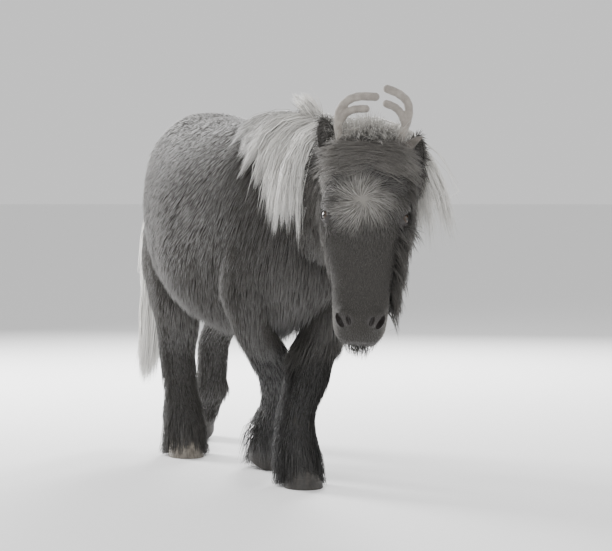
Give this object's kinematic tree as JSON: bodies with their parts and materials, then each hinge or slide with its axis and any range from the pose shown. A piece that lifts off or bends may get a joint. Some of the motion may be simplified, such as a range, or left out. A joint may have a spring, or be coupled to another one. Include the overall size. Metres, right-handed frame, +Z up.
{
  "type": "shetland pony",
  "caption": "Life-size still model of a small shaggy Shetland pony, mid-step with its head low, in a soft antler headband.",
  "frame": {"origin": "middle of the whole model's bounding box, on the floor", "axes": "+Z up, +Y towards the tail, +X towards the pony's left side"},
  "size_m": [0.5424, 1.5848, 1.0388],
  "materials": {
    "band": "soft dark padded band",
    "coat": null,
    "eye": "wet dark eye, as the glossy eye of a museum model",
    "felt": "stuffed mid grey-brown felt",
    "felt_ear": "single layer of grey-brown felt",
    "hoof": null,
    "mane": null,
    "pale_hoof": null
  },
  "bodies": {
    "root": {"antler_left": "felt", "antler_right": "felt", "ear_left": "coat", "ear_right": "coat", "eye_left": "eye", "eye_right": "eye", "felt_ear_left": "felt_ear", "felt_ear_right": "felt_ear", "head": "coat", "headband": "band", "hoof_fore_left": "hoof", "hoof_fore_right": "hoof", "hoof_hind_left": "hoof", "hoof_hind_right": "pale_hoof", "leg_fore_left": "coat", "leg_fore_right": "coat", "leg_hind_left": "coat", "leg_hind_right": "coat", "neck": "mane", "tail": "mane", "torso": "coat"}
  },
  "joints": []
}
